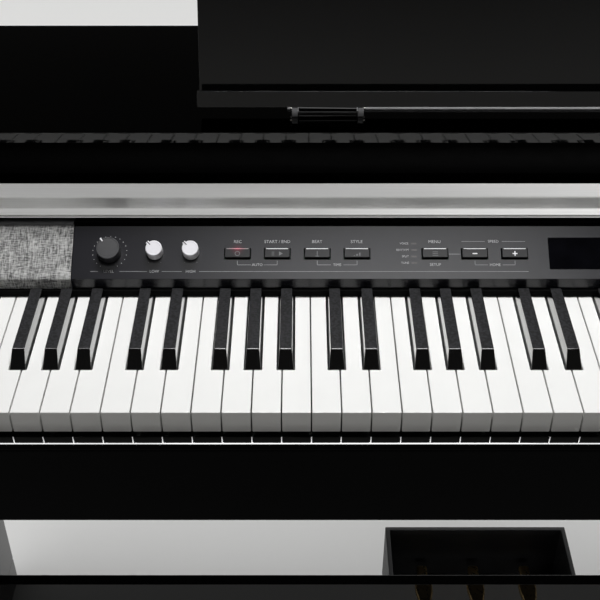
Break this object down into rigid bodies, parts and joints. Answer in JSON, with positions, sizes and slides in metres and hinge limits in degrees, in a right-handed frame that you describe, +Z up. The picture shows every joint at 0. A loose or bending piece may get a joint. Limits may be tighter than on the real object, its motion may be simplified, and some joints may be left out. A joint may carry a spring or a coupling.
{
  "type": "digital piano on cabinet stand",
  "caption": "Full size home digital piano: keyboard with sliding key cover and slanted control panel in a cabinet stand with music rest and pedals.",
  "frame": {"origin": "on the floor, below the middle of the piano's box", "axes": "+X to the player's right along the keyboard, +Y away from the player, +Z up"},
  "size_m": [1.376, 0.43, 1.0455],
  "materials": {
    "gloss_black_lacquer": "black polyester lacquer on board, high gloss",
    "satin_black_board": "black foil on board, satin",
    "dark_plastic": "fine moulded grain",
    "brass": "polished with light wear on the toes",
    "key_white": "smooth, softly glossy",
    "key_black": "satin tops, glossy sides",
    "circuit_board": "green solder mask",
    "panel_grey": "satin charcoal, glossy lower front",
    "display_glass": "dark window",
    "white_plastic": "satin white",
    "grille_fabric": "heather grey linen weave",
    "speaker_paper": "pressed paper cone",
    "brushed_aluminium": "brushed along its length",
    "hinge_steel": "plain zinc plated"
  },
  "bodies": {
    "cabinet": {"side_panel_left": "gloss_black_lacquer", "side_panel_right": "gloss_black_lacquer", "foot_rail_left": "gloss_black_lacquer", "foot_rail_right": "gloss_black_lacquer", "pedal_board": "gloss_black_lacquer", "key_slip": "gloss_black_lacquer", "cheek_block_left": "gloss_black_lacquer", "cheek_block_right": "gloss_black_lacquer", "top_board": "gloss_black_lacquer", "lower_back_panel": "satin_black_board", "key_bed": "satin_black_board", "upper_back_panel": "satin_black_board", "pedal_box": "dark_plastic", "socket_plate": "dark_plastic", "key_frame": "dark_plastic", "headphone_box": "dark_plastic", "height_adjuster": "dark_plastic", "white_keys_low": "key_white", "white_keys_high": "key_white", "black_keys_low": "key_black", "black_keys_high": "key_black", "contact_board": "circuit_board", "panel_circuit_board": "circuit_board", "main_circuit_board": "circuit_board", "control_panel": "panel_grey", "display_window": "display_glass", "speaker_grille_left": "grille_fabric", "speaker_grille_right": "grille_fabric", "speaker_left": "speaker_paper", "speaker_right": "speaker_paper", "music_rest_hinge": "hinge_steel"},
    "key_c": {"white_key_c": "key_white"},
    "key_c_sharp": {"black_key_c_sharp": "key_black"},
    "key_d": {"white_key_d": "key_white"},
    "key_d_sharp": {"black_key_d_sharp": "key_black"},
    "key_e": {"white_key_e": "key_white"},
    "key_f": {"white_key_f": "key_white"},
    "key_f_sharp": {"black_key_f_sharp": "key_black"},
    "key_g": {"white_key_g": "key_white"},
    "key_g_sharp": {"black_key_g_sharp": "key_black"},
    "key_a": {"white_key_a": "key_white"},
    "key_a_sharp": {"black_key_a_sharp": "key_black"},
    "key_b": {"white_key_b": "key_white"},
    "record_push": {"record_button": "dark_plastic"},
    "play_push": {"play_button": "dark_plastic"},
    "beat_push": {"beat_button": "dark_plastic"},
    "style_push": {"style_button": "dark_plastic"},
    "menu_push": {"menu_button": "dark_plastic"},
    "minus_push": {"minus_button": "dark_plastic"},
    "plus_push": {"plus_button": "dark_plastic"},
    "power_push": {"power_button": "dark_plastic"},
    "volume_dial": {"volume_knob": "dark_plastic"},
    "bass_dial": {"bass_knob": "white_plastic"},
    "treble_dial": {"treble_knob": "white_plastic"},
    "foot_left": {"pedal_left": "brass"},
    "foot_middle": {"pedal_middle": "brass"},
    "foot_right": {"pedal_right": "brass"},
    "cover": {"key_cover": "gloss_black_lacquer", "key_cover_handle": "brushed_aluminium"},
    "rest": {"music_rest": "gloss_black_lacquer"}
  },
  "joints": [
    {"name": "key_c_press", "type": "hinge", "parent": "cabinet", "child": "key_c", "pos_m": [0, 0.039, 0.723], "axis": [1, 0, 0], "range_deg": [0, 2.4], "stiffness_Nm_per_rad": 2, "springref_deg": -7.45},
    {"name": "key_c_sharp_press", "type": "hinge", "parent": "cabinet", "child": "key_c_sharp", "pos_m": [0, 0.039, 0.723], "axis": [1, 0, 0], "range_deg": [0, 2.4], "stiffness_Nm_per_rad": 2, "springref_deg": -7.45},
    {"name": "key_d_press", "type": "hinge", "parent": "cabinet", "child": "key_d", "pos_m": [0, 0.039, 0.723], "axis": [1, 0, 0], "range_deg": [0, 2.4], "stiffness_Nm_per_rad": 2, "springref_deg": -7.45},
    {"name": "key_d_sharp_press", "type": "hinge", "parent": "cabinet", "child": "key_d_sharp", "pos_m": [0, 0.039, 0.723], "axis": [1, 0, 0], "range_deg": [0, 2.4], "stiffness_Nm_per_rad": 2, "springref_deg": -7.45},
    {"name": "key_e_press", "type": "hinge", "parent": "cabinet", "child": "key_e", "pos_m": [0, 0.039, 0.723], "axis": [1, 0, 0], "range_deg": [0, 2.4], "stiffness_Nm_per_rad": 2, "springref_deg": -7.45},
    {"name": "key_f_press", "type": "hinge", "parent": "cabinet", "child": "key_f", "pos_m": [0, 0.039, 0.723], "axis": [1, 0, 0], "range_deg": [0, 2.4], "stiffness_Nm_per_rad": 2, "springref_deg": -7.45},
    {"name": "key_f_sharp_press", "type": "hinge", "parent": "cabinet", "child": "key_f_sharp", "pos_m": [0, 0.039, 0.723], "axis": [1, 0, 0], "range_deg": [0, 2.4], "stiffness_Nm_per_rad": 2, "springref_deg": -7.45},
    {"name": "key_g_press", "type": "hinge", "parent": "cabinet", "child": "key_g", "pos_m": [0, 0.039, 0.723], "axis": [1, 0, 0], "range_deg": [0, 2.4], "stiffness_Nm_per_rad": 2, "springref_deg": -7.45},
    {"name": "key_g_sharp_press", "type": "hinge", "parent": "cabinet", "child": "key_g_sharp", "pos_m": [0, 0.039, 0.723], "axis": [1, 0, 0], "range_deg": [0, 2.4], "stiffness_Nm_per_rad": 2, "springref_deg": -7.45},
    {"name": "key_a_press", "type": "hinge", "parent": "cabinet", "child": "key_a", "pos_m": [0, 0.039, 0.723], "axis": [1, 0, 0], "range_deg": [0, 2.4], "stiffness_Nm_per_rad": 2, "springref_deg": -7.45},
    {"name": "key_a_sharp_press", "type": "hinge", "parent": "cabinet", "child": "key_a_sharp", "pos_m": [0, 0.039, 0.723], "axis": [1, 0, 0], "range_deg": [0, 2.4], "stiffness_Nm_per_rad": 2, "springref_deg": -7.45},
    {"name": "key_b_press", "type": "hinge", "parent": "cabinet", "child": "key_b", "pos_m": [0, 0.039, 0.723], "axis": [1, 0, 0], "range_deg": [0, 2.4], "stiffness_Nm_per_rad": 2, "springref_deg": -7.45},
    {"name": "record_press", "type": "slide", "parent": "cabinet", "child": "record_push", "axis": [0, 0.5446, -0.8387], "range_m": [0, 0.0009], "stiffness_N_per_m": 300, "springref_m": -0.0012},
    {"name": "play_press", "type": "slide", "parent": "cabinet", "child": "play_push", "axis": [0, 0.5446, -0.8387], "range_m": [0, 0.0009], "stiffness_N_per_m": 300, "springref_m": -0.0012},
    {"name": "beat_press", "type": "slide", "parent": "cabinet", "child": "beat_push", "axis": [0, 0.5446, -0.8387], "range_m": [0, 0.0009], "stiffness_N_per_m": 300, "springref_m": -0.0012},
    {"name": "style_press", "type": "slide", "parent": "cabinet", "child": "style_push", "axis": [0, 0.5446, -0.8387], "range_m": [0, 0.0009], "stiffness_N_per_m": 300, "springref_m": -0.0012},
    {"name": "menu_press", "type": "slide", "parent": "cabinet", "child": "menu_push", "axis": [0, 0.5446, -0.8387], "range_m": [0, 0.0009], "stiffness_N_per_m": 300, "springref_m": -0.0012},
    {"name": "minus_press", "type": "slide", "parent": "cabinet", "child": "minus_push", "axis": [0, 0.5446, -0.8387], "range_m": [0, 0.0009], "stiffness_N_per_m": 300, "springref_m": -0.0012},
    {"name": "plus_press", "type": "slide", "parent": "cabinet", "child": "plus_push", "axis": [0, 0.5446, -0.8387], "range_m": [0, 0.0009], "stiffness_N_per_m": 300, "springref_m": -0.0012},
    {"name": "power_press", "type": "slide", "parent": "cabinet", "child": "power_push", "axis": [0, 0.5446, -0.8387], "range_m": [0, 0.0009], "stiffness_N_per_m": 300, "springref_m": -0.0012},
    {"name": "volume_turn", "type": "hinge", "parent": "cabinet", "child": "volume_dial", "pos_m": [-0.4113, -0.03029, 0.76647], "axis": [0, 0.5446, -0.8387], "range_deg": [-105, 195]},
    {"name": "bass_turn", "type": "hinge", "parent": "cabinet", "child": "bass_dial", "pos_m": [-0.3714, -0.03029, 0.76647], "axis": [0, 0.5446, -0.8387], "range_deg": [-90, 210]},
    {"name": "treble_turn", "type": "hinge", "parent": "cabinet", "child": "treble_dial", "pos_m": [-0.3397, -0.03029, 0.76647], "axis": [0, 0.5446, -0.8387], "range_deg": [-90, 210]},
    {"name": "pedal_left_press", "type": "hinge", "parent": "cabinet", "child": "foot_left", "pos_m": [0, 0.171, 0.067], "axis": [1, 0, 0], "range_deg": [0, 5.5], "stiffness_Nm_per_rad": 20, "springref_deg": -5.73},
    {"name": "pedal_middle_press", "type": "hinge", "parent": "cabinet", "child": "foot_middle", "pos_m": [0, 0.171, 0.067], "axis": [1, 0, 0], "range_deg": [0, 5.5], "stiffness_Nm_per_rad": 20, "springref_deg": -5.73},
    {"name": "pedal_right_press", "type": "hinge", "parent": "cabinet", "child": "foot_right", "pos_m": [0, 0.171, 0.067], "axis": [1, 0, 0], "range_deg": [0, 5.5], "stiffness_Nm_per_rad": 20, "springref_deg": -5.73},
    {"name": "key_cover_slide", "type": "hinge", "parent": "cabinet", "child": "cover", "pos_m": [0, 0.003, 0.261], "axis": [1, 0, 0], "range_deg": [0, 22.3]},
    {"name": "music_rest_fold", "type": "hinge", "parent": "cabinet", "child": "rest", "pos_m": [0, 0.033, 0.875], "axis": [1, 0, 0], "range_deg": [-69, 0]}
  ]
}
